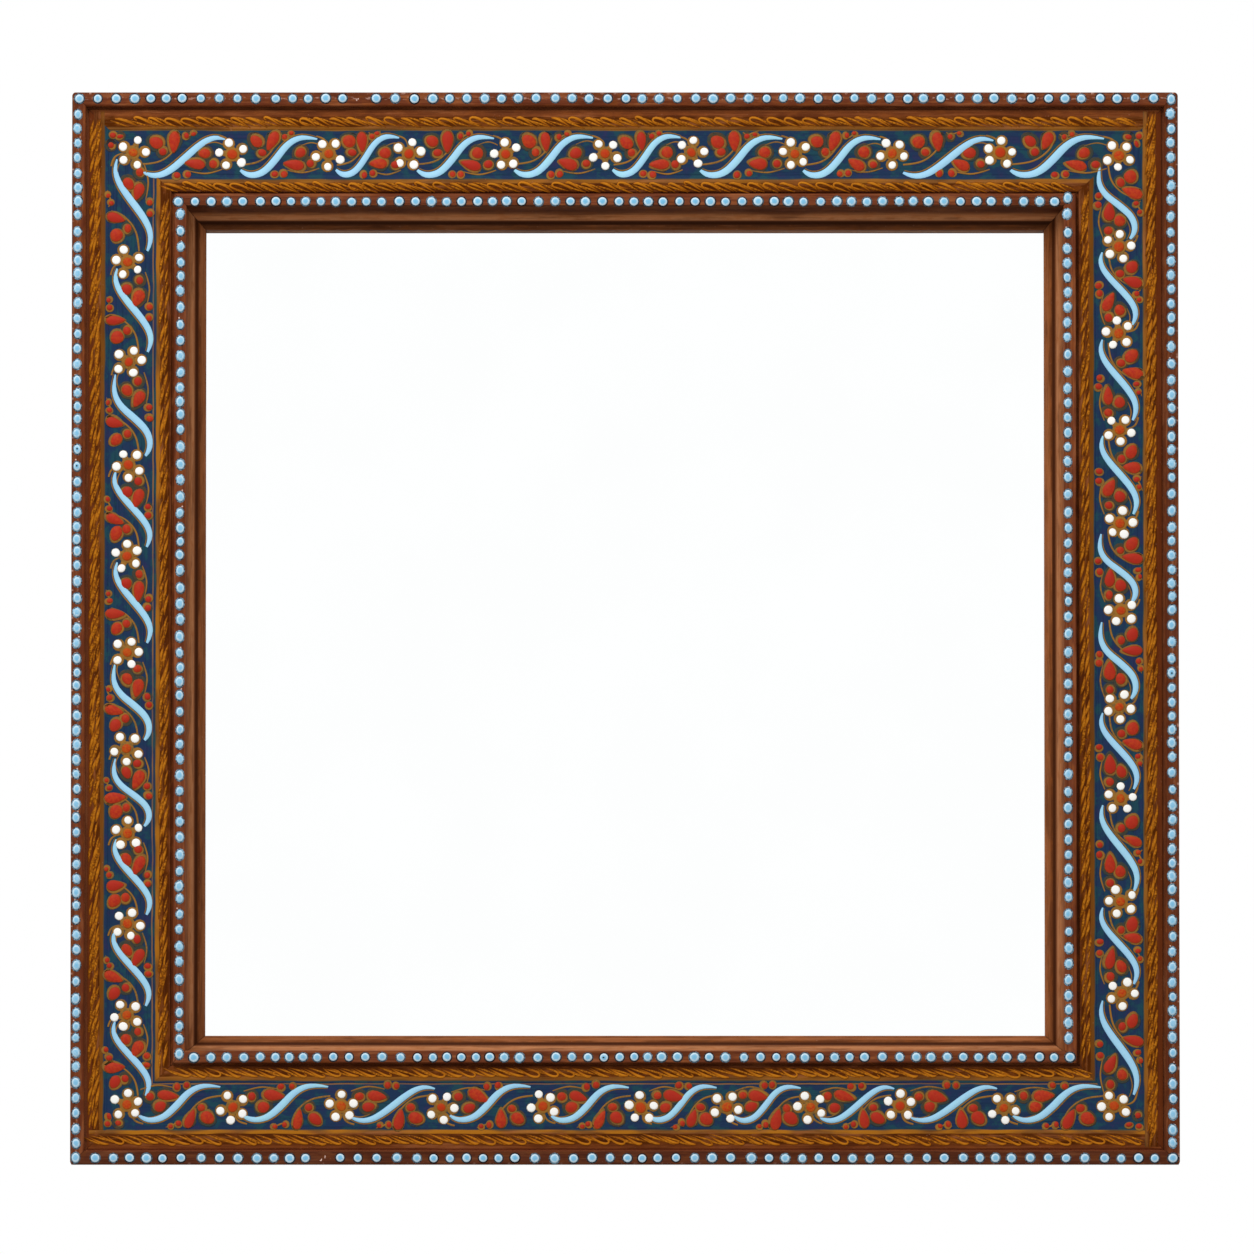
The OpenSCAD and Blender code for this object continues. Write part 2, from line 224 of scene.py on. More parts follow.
# The paint of two rails meets on the mitre, but not in the outer rope band: there a column runs on
# to the bead, or at the bottom left corner the bottom rail does.
lower_left = (z < 0) * (x < 0)
column_end = (from_side < (x > 0).choose(14.6, 15.7)) * (from_end > bead_width)
column_end = column_end * (1 - lower_left)
row_end = lower_left * (from_end < 15.9) * (from_side > bead_width)
on_row = ((from_end < from_side) + row_end).least(1.0) * (1 - column_end)
inwards = on_row.choose(from_side, from_end)


def by_side(top, right, bottom, left):
    """A number with its own value on each rail."""
    return on_row.choose((x > 0).choose(left, right), (z > 0).choose(bottom, top))


def strip(start, full, fade, end):
    """1 along a strip of the moulding, with soft edges, at these distances in from the outside."""
    return inwards.between(start, full) * (1 - inwards.between(fade, end))


# How far along the rail, with a start of its own for each rail, so that no two have the same grain
along = on_row.choose(z, x) + on_row.choose((x > 0) * 700, (z > 0) * 1500)

# Between the beads the bands were laid out by eye, so their edges wander and sit a little off. On
# the left rail the inner bands lie 1 mm further in, and on the top rail so do the cove's painted
# highlight and painted shade.
drift = place.vector(along / 16, inwards / 6, 0).noise(1, 2) - 0.5
by_hand = strip(bead_width, 10.5, 43.0, 45.0)
edge = inwards + by_hand * (drift * 1.2 - by_side(*layout_shift))
edge = edge - by_hand * by_side(0, 0, 0, 1.0) * inwards.between(33.0, 34.0)
edge = edge - by_side(1.5, 0, 0.2, 0.2) * inwards.between(51.6, 52.8)

# The colour of each band, by how far in from the outside it lies
bead_brown = colour(112, 58, 36)
quirk_brown_and_shade = colour(96, 44, 18)
rope_brown = colour(82, 36, 0)
line_ochre = colour(124, 78, 34)
navy = colour(32, 52, 82)
bands = [
    (0.0, colour(84, 42, 28)),
    (1.0, bead_brown),
    (5.4, colour(104, 50, 28)),
    # The quirks' darker brown is partly painted shade
    (6.3, quirk_brown_and_shade),
    (7.3, quirk_brown_and_shade),
    (7.8, colour(124, 66, 32)),
    (9.2, colour(112, 56, 22)),
    (9.7, rope_brown),
    (13.9, rope_brown),
    (14.3, line_ochre),
    (panel_middle - half_panel - 0.15, line_ochre),
    (panel_middle - half_panel, navy),
    (panel_middle + half_panel, navy),
    (panel_middle + half_panel + 0.15, line_ochre),
    (39.6, line_ochre),
    (40.1, rope_brown),
    (43.8, rope_brown),
    (44.4, colour(96, 46, 16)),
    (46.0, quirk_brown_and_shade),
    (46.7, bead_brown),
    (51.2, bead_brown),
    # On the cove: a pale band of painted highlight, then painted shade in the dark line where it
    # meets the lip
    (51.9, colour(126, 74, 44)),
    (53.3, colour(166, 106, 64)),
    (54.7, colour(176, 118, 78)),
    (55.3, colour(112, 64, 36)),
    (55.8, colour(66, 30, 10)),
    (56.5, colour(62, 28, 8)),
    (57.3, colour(104, 56, 26)),
    (58.5, colour(142, 84, 46)),
    (rail_width, colour(140, 86, 54)),
]
base = (edge / rail_width).ramp([(p / rail_width, shade) for p, shade in bands])

# In the brown: blotches, dark and pale streaks of the brush, and long shades in the stain
from_middle = abs(edge - panel_middle)
on_panel = from_middle < half_panel
on_brown = (1 - on_panel) * (1 - (edge > 55.0) * (edge < 57.0))
streaks = place.vector(along / 26, inwards / 0.8, y / 0.8).noise(1, 4, 0.6)
blotches = place.vector(along / 6, inwards / 3, y / 3).noise(1, 4, 0.6)
base = (blotches.between(0.46, 0.66) * on_brown * 0.4).tint(base, colour(146, 78, 30))
base = (streaks.between(0.48, 0.72) * on_brown * 0.5).tint(base, colour(58, 24, 8))
base = (streaks.between(0.46, 0.3) * on_brown * 0.35).tint(base, colour(164, 102, 58))
shading = place.vector(along / 32, inwards / 4, y / 9).noise(1, 4, 0.6)
base = (shading.between(0.5, 0.66) * on_brown * 0.45).tint(base, colour(70, 28, 8))
base = (shading.between(0.46, 0.32) * on_brown * 0.35).tint(base, colour(176, 108, 66))

# The rails aren't equally dark. On the columns the strip beside the outer bead is darker, and the
# rest is painted shade and painted light that differ from rail to rail.
beside_bead = (inwards > 7.5) * (inwards < 9.9) * (1 - on_row)
base = (beside_bead * 0.8).tint(base, colour(96, 42, 14))
# Painted shade on the outer bead, most on the bottom rail, less on the right
painted_shade_on_outer_bead = (inwards < 7.0) * by_side(0.0, 0.2, 0.42, 0.04)
base = painted_shade_on_outer_bead.tint(base, colour(34, 20, 16))
# Painted shade over the groove and lip at the sight edge of the top and left rails
painted_shade_on_sight_edge = (edge > 55.2) * by_side(0.45, 0, 0, 0.15)
base = painted_shade_on_sight_edge.tint(base, colour(30, 14, 6))
# Painted shade on the cove under the inner bead of the top rail
painted_shade_under_bead = strip(51.2, 51.7, 53.0, 55.0) * by_side(0.6, 0, 0, 0)
base = painted_shade_under_bead.tint(base, colour(40, 18, 8))
# Painted light along the quirk beside the outer bead, most on the bottom rail
painted_light_in_quirk = strip(6.0, 6.4, 7.3, 7.7) * by_side(0.1, 0.14, 0.6, 0.26)
base = painted_light_in_quirk.tint(base, colour(196, 116, 76))

# On the panel: green and violet patches in the navy, dark streaks, and an olive rim
patches = place.vector(along / 9, inwards / 6, 0).noise(1, 4, 0.65)
base = (patches.between(0.48, 0.6) * on_panel * 0.7).tint(base, colour(32, 74, 80))
base = (patches.between(0.44, 0.36) * on_panel * 0.5).tint(base, colour(50, 44, 84))
base = (streaks.between(0.5, 0.7) * on_panel * 0.4).tint(base, colour(18, 30, 52))
rim = (abs(from_middle - half_panel) < 0.28) * 0.7
base = rim.tint(base, colour(82, 72, 44))

# The ochre line on each side of the panel: bright where the brush was full, dull on some sides. A
# fine third line lies inside the panel on two rails.
half_line = 0.9
on_line = abs(from_middle - (half_panel + half_line)) < half_line
inner_line = edge > panel_middle
bright = place.vector(along / 30, inwards / 8, 0).noise(1, 2).between(0.42, 0.58)
bright_share = inner_line.choose(by_side(0.3, 0.3, 0.8, 0.3), by_side(0.4, 0.45, 0.3, 0.7))
base = (bright * on_line * bright_share).tint(base, colour(176, 110, 20))
dull = inner_line.choose(by_side(0, 0, 0, 0.6), by_side(0, 0.7, 0, 0)) * on_line
base = dull.tint(base, colour(98, 54, 14))
fine_line = (abs(edge - 36.7) < 0.32) * by_side(0, 0, 0.8, 0.7) * bright.choose(0.6, 1)
base = fine_line.tint(base, colour(150, 104, 58))

# Wear: specks, the outer arris down to the wood, and the open mitres; painted highlights on the
# bead's crown
specks = place.noise(0.7, 2).between(0.7, 0.76)
base = (specks * on_brown * 0.35).tint(base, colour(190, 140, 118))
arris = (1 - inwards.between(0.3, 1.3)) * (y < bead_top_y) * by_side(1, 1, 0.3, 1)
worn = arris * place.vector(along / 3, 0, 0).noise(1, 3, 0.6).between(0.56, 0.64)
base = (worn * 0.75).tint(base, colour(204, 162, 144))
# Painted highlights: pale patches along the crown of the outer bead, most on the top rail and none
# on the bottom
painted_highlight_crown = (1 - abs(inwards - 2.8).between(0.3, 0.9)) * (y < bead_top_y)
painted_crown_highlights = place.vector(along / 2.6, inwards / 1.2, 0).noise(1, 3, 0.6).between(0.52, 0.62)
painted_crown_highlights = painted_crown_highlights * painted_highlight_crown * by_side(0.8, 0.25, 0, 0.35)
base = (painted_crown_highlights * 0.7).tint(base, colour(196, 156, 142))
mitre = (abs(from_side - from_end) < 0.22) * by_hand.choose(0.65, 0.12)
base = mitre.tint(base, colour(40, 18, 10))

# The back and the rabbet are bare pine with growth rings, fibres and grime. Paint is smeared over
# their outer edge.
behind = (y > -5.4) + (y > -12.4) * (inwards > 52.8)
smear = place.noise(9, 3).between(0.35, 0.65) * 5 + 1.5
bare = behind.least(1.0) * (inwards > smear)
growth = place.vector(along / 300, inwards / 15, y / 15).noise(1, 2, 0.4, 0.25)
ring = growth.maths("FRACT", growth * 9)
fibre = place.vector(along / 16, inwards / 0.35, y / 0.35).noise(1, 3, 0.6)
wood = ring.ramp([
    (0.0, colour(206, 170, 122)),
    (0.5, colour(200, 162, 112)),
    (0.86, colour(172, 128, 80)),
    (0.94, colour(180, 136, 88)),
    (1.0, colour(206, 170, 122)),
])
wood = (fibre.between(0.5, 0.75) * 0.35).tint(wood, colour(132, 92, 56))
wood = (fibre.between(0.45, 0.25) * 0.3).tint(wood, colour(226, 196, 150))
grime = place.noise(38, 4, 0.6).between(0.5, 0.75)
wood = (grime * 0.35).tint(wood, colour(112, 84, 58))
wood = (mitre * 1.2).tint(wood, colour(60, 38, 22))
base = bare.tint(base, wood)

end_finish(painted_wood, {
    "Base Color": base,
    "Roughness": bare.choose(0.42 + streaks * 0.2, 0.8),
    "Specular IOR Level": 0.03,
    "Normal": bare.choose(streaks * 0.6 + drift * 0.4, fibre * 0.8 + ring * 0.2).bump(0.12),
})
clothe(painted_wood, "top_rail", "right_rail", "bottom_rail", "left_rail")

# The rope strokes on the two swelled bands: thick ochre paint over the brown. Each is one pull of
# a small brush, fat where it lands and thin where it lifts, and laid over the one before it.


def deselect():
    bpy.ops.object.select_all(action="DESELECT")


mm = 0.001
side_names = ("top", "right", "bottom", "left")
panel_y = -31.7
# One of each stroke and dab, copied wherever it is laid, and deleted once all are laid
masters = []


def half_length(side):
    """Half of a rail's length: the top and bottom rails run across, the other two up and down."""
    return half_height if side % 2 else half_width


def half_reach(side):
    """How far a rail's outer edge stands from the middle of the frame."""
    return half_width if side % 2 else half_height


def on_rail(side):
    """Lays a piece on a rail: X runs along it, clockwise from the front, Y out from its outer
    edge, and Z forwards from the painted panel, in millimetres."""
    lay_down = Matrix((
        (1, 0, 0, 0),
        (0, 0, -1, panel_y),
        (0, 1, 0, half_reach(side)),
        (0, 0, 0, 1),
    ))
    return Matrix.Scale(mm, 4) @ Matrix.Rotation(side * math.pi / 2, 4, "Y") @ lay_down


def keep(mesh, name, values):
    """Keeps a number for each point of a mesh, for its finish to read."""
    mesh.attributes.new(name, "FLOAT", "POINT").data.foreach_set("value", values)


def keep_rise(master):
    """Keeps how high each point of a dab of paint stands, from 0 at its foot to 1 at its top."""
    heights = [v.co.z for v in master.data.vertices]
    keep(master.data, "rise", [h / max(heights) for h in heights])
    bpy.ops.object.shade_smooth()


def brush_line(name, points, widths, height, detail=2, round_by=1):
    """A line of thick paint through points, each with its own width, in millimetres. It is drawn
    as a round tube, pressed flat, and its under half is cut away."""
    deselect()
    bpy.ops.curve.primitive_nurbs_path_add(location=(0, 0, 0))
    line = bpy.context.object
    line.name = name
    line.data.splines.clear()
    spline = line.data.splines.new("NURBS")
    spline.points.add(len(points) - 1)
    spline.order_u = 3
    spline.use_endpoint_u = True
    spline.resolution_u = detail
    for point, (a, b), width in zip(spline.points, points, widths):
        point.co = (a, b, 0, 1)
        point.radius = width / 2
    line.data.bevel_depth = 1
    line.data.bevel_resolution = round_by
    line.data.use_fill_caps = True
    bpy.ops.object.convert(target="MESH")
    line = bpy.context.object
    bpy.ops.object.mode_set(mode="EDIT")
    bpy.ops.mesh.select_all(action="SELECT")
    flat = 2 * height / max(widths)
    bpy.ops.transform.resize(value=(1, 1, flat), center_override=(0, 0, 0))
    bpy.ops.mesh.bisect(plane_co=(0, 0, 0), plane_no=(0, 0, 1), use_fill=True, clear_inner=True)
    bpy.ops.mesh.select_all(action="SELECT")
    bpy.ops.mesh.normals_make_consistent(inside=False)
    bpy.ops.object.mode_set(mode="OBJECT")
    keep_rise(line)
    masters.append(line)
    return line


def band_swell(p):
    """How high paint lies over the panel's level at a distance in from the outer edge. It follows
    the two swelled bands, and runs out past them, where it fills the corner at their foot."""
    foot, rise, fill = 0.2, 0.6, 1.8
    for start, width in ((7.6, 8.8), (37.5, 7.4)):
        share = (p - start) / width
        past = max(start - p, p - start - width)
        if past < 0:
            return foot + rise * (1 - (2 * share - 1) ** 2)
        if past < fill:
            return foot * (1 - past / fill)
    return 0


def lay(name, placed, side, finish, slot, *replaced):
    """Copies each master to its place on a rail, every copy with its own mesh, and joins them.
    Paint that runs over a swelled band follows it."""
    deselect()
    for master, place, tone in placed:
        mesh = master.data.copy()
        mesh.transform(on_rail(side) @ place)
        keep(mesh, "tone", [tone] * len(mesh.vertices))
        copy = bpy.data.objects.new(name, mesh)
        bpy.context.collection.objects.link(copy)
        copy.select_set(True)
    bpy.context.view_layer.objects.active = copy
    bpy.ops.object.join()
    piece = bpy.context.object
    piece.name = name
    piece.data.materials.clear()
    piece.data.materials.append(finish)
    for v in piece.data.vertices:
        p = min(half_width - abs(v.co.x) / mm, half_height - abs(v.co.z) / mm)
        v.co.y -= band_swell(p) * mm
    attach(piece, "frame")
    if replaced:
        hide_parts(*replaced)


def enamel(name, stops, patch, shine, grain=0.9):
    """Thick paint: its colour runs with its height, and each dab has its own tone."""
    finish, place = start_finish(name)
    rise = place.node("Attribute", {"attribute_name": "rise"}, {}, "Fac")
    tone = place.node("Attribute", {"attribute_name": "tone"}, {}, "Fac")
    wander = place.noise(grain, 3, 0.6)
    base = (rise * (0.85 + wander * 0.3)).ramp([(share, colour(*shade)) for share, shade in stops])
    base = (tone * wander.between(0.35, 0.65)).tint(base, colour(*patch))
    end_finish(finish, {
        "Base Color": base,
        "Roughness": shine + wander * 0.25,
        "Specular IOR Level": 0.06,
        "Normal": wander.bump(0.06),
    })
    return finish


def scatter(dice, amount):
    """How far the painter's hand strayed, either way."""
    return dice.uniform(-amount, amount)


def put(a, b, turn=0.0, size=(1, 1, 1), height=0.0):
    """The matrix that sizes a master, turns it, and moves it to a place on the rail."""
    move = Matrix.Translation((a, b, height))
    return move @ Matrix.Rotation(turn, 4, "Z") @ Matrix.Diagonal((*size, 1))


rope_paint = enamel(
    "ochre rope paint",
    [(0, (60, 26, 0)), (0.3, (104, 52, 0)), (0.7, (170, 96, 8)), (1, (196, 122, 22))],
    (112, 58, 0), 0.35,
)
bright_strokes = [
    brush_line("bright stroke", [(0, 1.5), (1.0, 2.1), (3.2, 1.4), (6.0, -0.3), (8.6, -1.8)],
               [1.0, 1.7, 1.5, 1.1, 0.5], 0.4),
    brush_line("bright stroke", [(0.4, 1.8), (2.4, 1.7), (5.0, 0.6), (9.6, -2.0)],
               [1.0, 1.7, 1.4, 0.5], 0.4),
    brush_line("hooked stroke",
               [(1.6, 0.6), (0.1, 1.6), (1.4, 2.3), (3.8, 1.4), (6.4, -0.4), (9.4, -1.9)],
               [0.7, 1.0, 1.5, 1.4, 1.0, 0.5], 0.4),
    brush_line("looped stroke",
               [(6.2, -1.3), (3.2, -0.9), (0.9, 0.5), (1.6, 2.0), (4.4, 1.7), (7.4, 0.1),
                (9.4, -1.6)],
               [0.5, 1.0, 1.1, 1.3, 1.4, 1.0, 0.5], 0.38),
]
dim_strokes = [
    brush_line("dim stroke", [(2.2, 2.2), (5.0, 1.5), (8.2, 0.1), (11.4, -1.6)],
               [0.5, 1.1, 1.0, 0.4], 0.24),
    brush_line("dim stroke", [(-1.2, 0.8), (1.6, -0.1), (4.8, -1.3), (8.0, -2.2)],
               [0.5, 1.1, 1.0, 0.4], 0.24),
]
slim_strokes = [
    brush_line("slim stroke", [(0, 1.0), (3.0, 0.9), (6.0, -0.1), (8.8, -1.0)],
               [0.6, 1.6, 1.6, 0.4], 0.36),
    brush_line("slim stroke", [(0, 0.9), (3.2, 0.3), (6.4, -0.7), (9.4, -1.2)],
               [0.9, 1.8, 1.3, 0.4], 0.36),
    brush_line("slim stroke", [(0, 0.6), (3.0, 0.5), (6.4, -0.7)], [0.6, 1.7, 0.4], 0.36),
]
stroke_length = 9


def rope_on_a_row(dice, start, stop):
    """At each step two dim pulls of the brush and a bright one, all slanting across the band."""
    at = start
    while at < stop - stroke_length:
        for dim in dim_strokes:
            yield dim, at + scatter(dice, 0.7), scatter(dice, 0.2), dice.uniform(0.6, 1)
        yield dice.choice(bright_strokes), at, scatter(dice, 0.3), dice.uniform(0, 0.35)
        at += dice.uniform(6.6, 8.6)


def rope_on_a_column(dice, start, stop, tracks):
    """Slim strokes in tracks side by side, like ears of wheat."""
    for track in tracks:
        at = start + dice.uniform(0, 3)
        while at < stop - stroke_length:
            stroke, off = dice.choice(slim_strokes), track + scatter(dice, 0.35)
            yield stroke, at, off, dice.uniform(0.4, 1.4)
            at += dice.uniform(4.4, 7.4)


# For the top, right, bottom and left rails: how far in the middle of each band lies, and how far
# its strokes run past its own corner at either end. The tracks are those of a column.
rope_bands = {
    "outer": {
        "middles": (13.3, 12.3, 11.5, 10.6),
        "ends": ((-5.6, -5.6), (3.6, 3.6), (-5.6, 3.6), (-5.6, 3.6)),
        "tracks": (1.3, -0.1, -1.4),
    },
    "inner": {
        "middles": (43.0, 42.4, 42.0, 41.9),
        "ends": ((2.0, 2.0), (-1.6, -1.6), (2.0, 2.0), (-1.6, -1.6)),
        "tracks": (1.1, -0.9),
    },
}
for side, side_name in enumerate(side_names):
    for band, layout in rope_bands.items():
        dice = random.Random(45 + side * 2)
        middle = layout["middles"][side]
        corner = half_length(side) - middle
        start, stop = -corner - layout["ends"][side][0], corner + layout["ends"][side][1]
        if side % 2:
            strokes = rope_on_a_column(dice, start, stop, layout["tracks"])
        else:
            strokes = rope_on_a_row(dice, start, stop)
        placed = []
        for stroke, at, off, tone in strokes:
            size = (dice.uniform(0.9, 1.15), dice.uniform(0.92, 1.08), dice.uniform(0.8, 1.1))
            placed.append((stroke, put(at, off - middle, scatter(dice, 0.05), size, -0.05), tone))
        lay(f"rope_{band}_{side_name}", placed, side, rope_paint, "painted_wood")

# The flowers of the scroll: ten to a rail, each of five thick white drops of enamel round a red
# heart on an ochre star, all laid wet on the navy panel.


def drop(name, radius, foot, steps, peak, corners=12):
    """A drop of enamel with its foot at z = 0. Each step goes inwards and up, and the middle
    rises to the peak above the last."""
    deselect()
    bpy.ops.mesh.primitive_circle_add(
        vertices=corners, radius=radius, fill_type="NGON", location=(0, 0, 0)
    )
    dab = bpy.context.object
    dab.name = name
    bpy.ops.object.mode_set(mode="EDIT")
    bpy.ops.mesh.select_all(action="SELECT")
    bpy.ops.mesh.extrude_region_move(TRANSFORM_OT_translate={"value": (0, 0, foot)})
    for inwards, up in steps:
        bpy.ops.mesh.inset(thickness=inwards, depth=up)
    bpy.ops.mesh.poke(offset=peak)
    bpy.ops.mesh.select_all(action="SELECT")
    bpy.ops.mesh.normals_make_consistent(inside=False)
    bpy.ops.object.mode_set(mode="OBJECT")
    keep_rise(dab)
    masters.append(dab)
    return dab


def centres(node, side, gap):
    """Where a CAD node's dots or flowers sit on a rail, in order along it. They are told apart by
    the gap between them."""
    back = on_rail(side).inverted()
    points = sorted((back @ v.co).to_tuple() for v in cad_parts[node].data.vertices)
    groups = [[points[0]]]
    for point in points[1:]:
        if point[0] - groups[-1][-1][0] > gap:
            groups.append([])
        groups[-1].append(point)
    found = []
    for group in groups:
        outs = [point[1] for point in group]
        found.append(((group[0][0] + group[-1][0]) / 2, (min(outs) + max(outs)) / 2))
    return found


white_paint = enamel(
    "white enamel",
    [(0, (44, 36, 30)), (0.15, (70, 52, 34)), (0.24, (238, 224, 198)), (0.4, (252, 250, 244)),
     (1, (255, 254, 250))],
    (251, 248, 236), 0.25,
)
heart_paint = enamel(
    "red heart paint",
    [(0, (104, 52, 10)), (0.3, (160, 82, 16)), (0.6, (176, 60, 20)), (1, (184, 48, 22))],
    (180, 92, 20), 0.35,
)
ochre_paint = enamel(
    "ochre paint",
    [(0, (66, 50, 26)), (0.25, (118, 82, 38)), (0.6, (142, 98, 42)), (1, (158, 108, 40))],
    (112, 88, 50), 0.4,
)
# Flat dabs and lines are laid this much into the paint under them, so that no gap shows.
sunk = -0.02
petal = drop("petal", 2.2, 0.05, [(0.24, 0.02), (0.12, 0.26), (0.5, 0.1)], 0.03)
heart = drop("heart", 2.15, 0.2, [(0.45, 0.12), (0.45, 0.12)], 0.08)
cup = drop("cup", 2.85, 0.07, [(0.3, 0.07)], 0.02)
flower_rows = []
for side, side_name in enumerate(side_names):
    dice = random.Random(70 + side)
    row = [a for a, b in centres("petals_" + side_name, side, 15)]
    flower_rows.append(row)
    petals, hearts, cups = [], [], []
    for i, a in enumerate(row):
        b = 0.7 - panel_middle - layout_shift[side] + scatter(dice, 0.5)
        wide, turn = dice.uniform(0.95, 1.15), dice.uniform(0, 6)
        size = (wide, wide * dice.uniform(0.85, 1.1), 1)
        hearts.append((heart, put(a, b, turn, size), dice.random()))
        cups.append((cup, put(a, b, dice.uniform(0, 6), (1.2, 1.2, 1.2), sunk), dice.random()))
        for k in range(5):
            way = math.radians(25 * i + 72 * k + scatter(dice, 9))
            out = 5.6 + scatter(dice, 0.45)
            da, db = out * math.cos(way), out * math.sin(way)
            wide = dice.uniform(0.92, 1.04)
            size = (wide, wide * dice.uniform(0.9, 1.06), 1)
            spot = put(a + da, b + db, dice.uniform(0, 6), size)
            petals.append((petal, spot, dice.uniform(0, 0.5)))
            if dice.random() < 0.75:
                under = (a + da * 0.92 + scatter(dice, 0.3), b + db * 0.92 + scatter(dice, 0.3))
                spot = put(*under, dice.uniform(0, 6), (1, 1, 0.9), sunk)
                cups.append((cup, spot, dice.random()))
            spot = put(a + da * 0.5, b + db * 0.5, way, (0.95, 0.5, 1.05), sunk)
            cups.append((cup, spot, dice.random()))
    node = "petals_" + side_name
    lay("white_petals_" + side_name, petals, side, white_paint, "white_enamel", node)
    lay("flower_hearts_" + side_name, hearts, side, heart_paint, "painted_wood")
    lay("ochre_stars_" + side_name, cups, side, ochre_paint, "painted_wood")

# The leaves, berries and stems that fill the scroll between two flowers: red dabs of enamel, each
# ringed with ochre on a thin green glaze, and ochre lines drawn with the tip of a small brush.


def leaf_shape(name, pull, squeeze):
    """A leaf: a flat dab with a low ochre rim, drawn out to one end."""
    leaf = drop(name, 0.5, 0.14, [(0.055, 0.03), (0.035, 0.13)], 0.06, 14)
    for v in leaf.data.vertices:
        share = v.co.x + 0.5
        v.co.y *= 1 - squeeze * share * share
        v.co.x += pull * max(0, share - 0.6)
    return leaf


leaf_paint = enamel(
    "red leaf paint",
    [(0, (100, 58, 28)), (0.34, (134, 60, 27)), (0.5, (162, 52, 27)), (0.8, (172, 44, 28)),
     (1, (168, 42, 31))],
    (184, 64, 26), 0.35, 1.6,
)
green_glaze = enamel(
    "dark green glaze",
    [(0, (36, 52, 70)), (0.5, (50, 62, 60)), (1, (62, 62, 50))],
    (84, 62, 38), 0.45, 2.0,
)
round_leaf = leaf_shape("round leaf", 0.1, 0.16)
long_leaf = leaf_shape("long leaf", 0.25, 0.5)
berry = leaf_shape("berry", 0, 0)
# From one flower to the next, along and across the panel: the points of each stem, its widths and
# its height
stem_paths = [
    ([(4.6, -4.4), (9.6, -4.0), (14.4, -2.2), (18.2, 1.2), (20.4, 4.8), (21.4, 8.2)],
     [0.9, 1.0, 0.9, 0.9, 0.8, 0.4], 0.2),
    ([(26.0, -7.4), (30.6, -8.6), (36, -8.6), (41.4, -6.6)], [0.5, 0.8, 0.9, 0.6], 0.2),
    ([(32.6, 4.2), (35.6, 5.6), (39.4, 5.8), (42.2, 4.2)], [0.4, 0.6, 0.7, 0.5], 0.2),
    ([(40.0, 8.8), (42.8, 8.2), (44.9, 6.2), (45.4, 3.6)], [0.9, 1.0, 0.9, 0.5], 0.2),
    ([(23.0, 10.0), (24.6, 8.0), (27.0, 9.6), (30.0, 10.4)], [0.5, 0.9, 0.9, 0.4], 0.22),
]
stem_lines = [brush_line("stem", *path, 3) for path in stem_paths]
# Each dab: its place along and across, its length, its width, and the way it points, in degrees
scroll = [
    (round_leaf, 11.2, 5.9, 6.6, 5.8, 150),
    (long_leaf, 18.8, 6.6, 8.8, 5.6, -100),
    (berry, 13.8, 1.1, 4.0, 3.7, 0),
    (berry, 24.4, 8.6, 2.5, 2.8, 0),
    (berry, 28.0, 9.6, 2.3, 2.1, 0),
    (round_leaf, 33.0, 0.9, 5.6, 5.2, 200),
    (long_leaf, 29.4, -4.3, 8.8, 5.8, 165),
    (berry, 37.6, -4.2, 4.0, 3.8, 0),
    (berry, 20.6, -8.9, 2.9, 3.1, 0),
    (berry, 25.2, -8.7, 3.1, 3.1, 0),
]
corner_berries = [
    (berry, -9.8, 9.2, 2.8, 2.6, 0),
    (berry, -9.8, 4.6, 2.6, 3.0, 0),
    (berry, -5.6, 8.4, 3.0, 2.0, 20),
]
cell_length = 45.96
# The glaze keeps between these two, a little inside the panel's edges
glaze_near, glaze_far = panel_middle - half_panel + 1.5, panel_middle + half_panel - 1.4
cells = [[] for side in side_names]
for side, side_name in enumerate(side_names):
    middle = -panel_middle - layout_shift[side]
    corner = half_length(side) - panel_middle
    stops = flower_rows[side] + [corner]
    dice = random.Random(90 + side)
    leaves, outlines, glazes, stems = [], [], [], []
    for i, (a, c) in enumerate(zip(stops, stops[1:])):
        stretch = (c - a) / cell_length
        cells[side].append((a, middle, stretch))
        for shape, u, v, long, wide, turn in scroll + (corner_berries if i == 0 else []):
            spot = (a + u * stretch + scatter(dice, 0.6), middle + v + scatter(dice, 0.4),
                    math.radians(turn) + scatter(dice, 0.3))
            long, wide = long * dice.uniform(0.84, 1.06), wide * dice.uniform(0.84, 1.06)
            size = (long, wide, dice.uniform(0.9, 1.15))
            leaves.append((shape, put(*spot, size, 0.04), dice.uniform(0, 0.9)))
            askew = [number + scatter(dice, most) for number, most in zip(spot, (0.6, 0.6, 0.16))]
            size = (long + 1.25, wide + 1.25, 0.34)
            outlines.append((shape, put(*askew, size), dice.uniform(0, 1)))
            room = 2 * min(-spot[1] - glaze_near, glaze_far + spot[1])
            if room > 3:
                size = (min(long + 3.4, room), min(wide + 3.4, room), 0.16)
                glazes.append((shape, put(*spot, size), dice.uniform(0, 1)))
        for stem in stem_lines:
            size = (stretch, dice.uniform(0.95, 1.03), 1)
            spot = put(a, middle + scatter(dice, 0.2), scatter(dice, 0.01), size, sunk)
            stems.append((stem, spot, dice.random()))
    lay("red_leaves_" + side_name, leaves, side, leaf_paint, "painted_wood")
    lay("ochre_stems_" + side_name, stems + outlines, side, ochre_paint, "painted_wood")
    lay("green_glaze_" + side_name, glazes, side, green_glaze, "painted_wood")

# The light blue S strokes, one from each flower to the next. Each is a single pull of a wide brush
# full of enamel that starts blunt, swells, and thins out as it ends, with an ochre line beside it.
ribbon_paint = enamel(
    "light blue ribbon paint",
    [(0, (28, 40, 56)), (0.1, (70, 110, 140)), (0.2, (150, 202, 236)), (1, (166, 214, 240))],
    (164, 222, 234), 0.3, 3.0,
)
